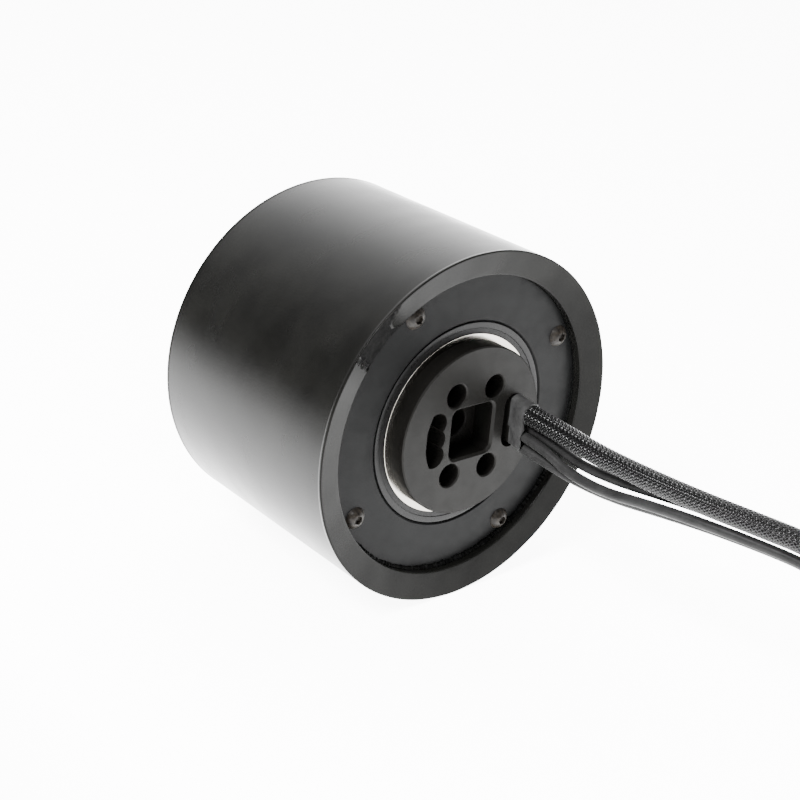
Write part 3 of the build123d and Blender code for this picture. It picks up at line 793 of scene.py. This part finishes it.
def cable_tie():
    """A nylon strap over the coil's cords, down to the floor on both sides, its head on top."""
    strap = rounded([
        (TIE_IN - TIE_T, 0, 0), (TIE_IN - TIE_T, TIE_TOP + TIE_T, 2.6),
        (TIE_OUT + TIE_T, TIE_TOP + TIE_T, 2.6), (TIE_OUT + TIE_T, 0, 0),
        (TIE_OUT, 0, 0), (TIE_OUT, TIE_TOP, 1.8), (TIE_IN, TIE_TOP, 1.8), (TIE_IN, 0, 0),
    ], 8)
    head = rounded([(HEAD_START, HEAD_Z[0], 0.3), (HEAD_START, HEAD_Z[1], 0.9),
                    (HEAD_END, HEAD_Z[1], 0.6), (HEAD_END, HEAD_Z[0], 0.3)], 5)
    verts, faces = extruded(strap, TIE_HALF_W)
    head_verts, head_faces = extruded(head, HEAD_HALF_W)
    faces += [tuple(v + len(verts) for v in face) for face in head_faces]
    turn = math.radians(TIE_ANGLE)
    placed = [(COIL[0] + a * math.cos(turn) - across * math.sin(turn),
               COIL[1] + a * math.sin(turn) + across * math.cos(turn), FLOOR_Z + b)
              for a, across, b in verts + head_verts]
    item = mesh_object("cable_tie_look", placed, faces, MATERIALS["tie"], 35)
    edges = item.modifiers.new("edges", "BEVEL")
    edges.width = 0.12 * MM
    edges.segments = 2
    edges.limit_method = "ANGLE"
    edges.harden_normals = True
    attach(item, "stator")
    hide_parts("cable_tie")


# ---- the cords
YARNS = 16
YARN_LAY = 19.5
YARN_R = 2.41
YARN_STEP = 0.36
YARN_WEAVE = 0.12
# a yarn's section, as (distance across it, height)
YARN_SECTION = ((-0.38, -0.07), (-0.2, 0.05), (0.0, 0.085), (0.2, 0.05), (0.38, -0.07))
CORE_R = 2.33


def braid(core):
    """Two sets of flat yarns wound opposite ways over a cord, each over one and under one."""
    places, points, sides, ups = centreline(core, YARN_STEP)
    count = len(places)
    verts, faces = [], []
    crossing = 2 * math.pi * YARNS * places / YARN_LAY
    for way in (1, -1):
        for i in range(YARNS):
            angle = 2 * math.pi * i / YARNS + way * 2 * math.pi * places / YARN_LAY
            radius = YARN_R + way * YARN_WEAVE * np.cos(crossing)
            base = len(verts)
            for offset, rise in YARN_SECTION:
                turn = angle + offset / YARN_R
                out = (radius + rise)[:, None]
                ring = points + out * (np.cos(turn)[:, None] * sides + np.sin(turn)[:, None] * ups)
                verts.extend(ring.tolist())
            for j in range(len(YARN_SECTION) - 1):
                for k in range(count - 1):
                    a = base + j * count + k
                    face = (a, a + 1, a + count + 1, a + count)
                    faces.append(face if way > 0 else (face[0], *reversed(face[1:])))
    mesh = bpy.data.meshes.new("braid_yarns")
    mesh.from_pydata((np.array(verts) * MM).tolist(), [], faces)
    mesh.materials.append(MATERIALS["braid"])
    mesh.shade_smooth()
    item = linked("braid_yarns", mesh)
    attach(item, "stator")
    return item


def cords():
    """The braided sensor cable and the three phase leads, each one whole cord."""
    core = cord_line("sleeve", SLEEVE_ROUTE + coil_turns(0, SLEEVE_R) + SLEEVE_TAIL, CORE_R)
    core.data.materials.append(MATERIALS["seal"])
    yarns = braid(core)
    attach(core, "stator")
    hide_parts("sensor_cable", "harness_coil")
    # each lead's letter, route, place in the coil beside the cable, height, tail and length in metres
    leads = (
        ("a", LEAD_A_ROUTE, -5.6, UPPER_LEAD_Z, LEAD_A_TAIL, 0.397),
        ("b", LEAD_B_ROUTE, -7.0, LEAD_R, LEAD_B_TAIL, 0.386),
        ("c", LEAD_C_ROUTE, -4.2, LEAD_R, LEAD_C_TAIL, 0.410),
    )
    for letter, route, offset, z, tail, length in leads:
        item = cord_line(f"phase_wire_{letter}", route + coil_turns(offset, z) + tail, LEAD_R)
        item.data.materials.append(MATERIALS["wire"])
        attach(item, "stator")
        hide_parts(f"phase_lead_{letter}", "harness_coil")


# ---- floor and light
GLOW_SIDE = (0.6, 0.69, 0.42)
GLOW = 7.8
GLOW_POWER = 2.4
ROOM = 0.04
FLOOR_REACH = 2.5
FLOOR_GLOW = 9.0
FLOOR_FAR_GLOW = 0.4
FLOOR_FADE = (-0.26, -0.10)
LIGHT_AIM = (0, 0.03, 0)
# lights as (name, place, size, watts)
LIGHTS = (
    ("overhead", (0.35, 0.25, 0.9), (0.9, 0.7), 3),
    ("left", (-0.65, -0.15, 0.75), (0.3, 0.3), 42),
    ("front", (-0.35, -0.75, 0.85), (0.3, 0.3), 8),
)


def stage():
    """A pale floor lit like a light table, its glow fading out to the left of the view."""
    material = look("floor", (0.92, 0.92, 0.92), 0.9)
    tree = material.node_tree
    shader = tree.nodes["Principled BSDF"]
    shader.inputs["Emission Color"].default_value = (1, 1, 1, 1)
    place = tree.nodes.new("ShaderNodeTexCoord")
    split = tree.nodes.new("ShaderNodeSeparateXYZ")
    tree.links.new(place.outputs["Object"], split.inputs["Vector"])
    glow = spread(material, split.outputs["X"], FLOOR_FAR_GLOW, FLOOR_GLOW, *FLOOR_FADE)
    tree.links.new(glow, shader.inputs["Emission Strength"])
    mesh = bpy.data.meshes.new("floor")
    corners = ((-1, -1), (1, -1), (1, 1), (-1, 1))
    mesh.from_pydata([(x * FLOOR_REACH, y * FLOOR_REACH, FLOOR_Z * MM) for x, y in corners],
                     [], [(0, 1, 2, 3)])
    mesh.materials.append(material)
    item = linked("floor", mesh)


def softbox(name, place, size, power):
    """An area light aimed at the wheel."""
    light = bpy.data.lights.new(name, "AREA")
    light.shape = "RECTANGLE"
    light.size, light.size_y = size
    light.energy = power
    item = linked(name, light)
    item.location = place
    item.rotation_mode = "QUATERNION"
    item.rotation_quaternion = (Vector(LIGHT_AIM) - Vector(place)).to_track_quat("-Z", "Y")


def room():
    """A world that is bright low down behind the wheel and dark elsewhere."""
    world = bpy.data.worlds.new("room")
    bpy.context.scene.world = world
    world.use_nodes = True
    tree = world.node_tree
    place = tree.nodes.new("ShaderNodeTexCoord")
    toward = tree.nodes.new("ShaderNodeVectorMath")
    toward.operation = "DOT_PRODUCT"
    toward.inputs[1].default_value = Vector(GLOW_SIDE).normalized()
    tree.links.new(place.outputs["Generated"], toward.inputs[0])
    value = toward.outputs["Value"]
    for operation, constants in (("MAXIMUM", (0.0,)), ("POWER", (GLOW_POWER,)),
                                 ("MULTIPLY_ADD", (GLOW, ROOM))):
        step = tree.nodes.new("ShaderNodeMath")
        step.operation = operation
        for socket, constant in zip(step.inputs[1:], constants):
            socket.default_value = constant
        tree.links.new(value, step.inputs[0])
        value = step.outputs["Value"]
    background = tree.nodes["Background"]
    background.inputs["Color"].default_value = (1, 1, 1, 1)
    tree.links.new(value, background.inputs["Strength"])


camera()
inner_pieces()
cad_pieces()
tyre()
tyre_residue()
boot()
cable_tie()
cords()
stage()
for light in LIGHTS:
    softbox(*light)
room()
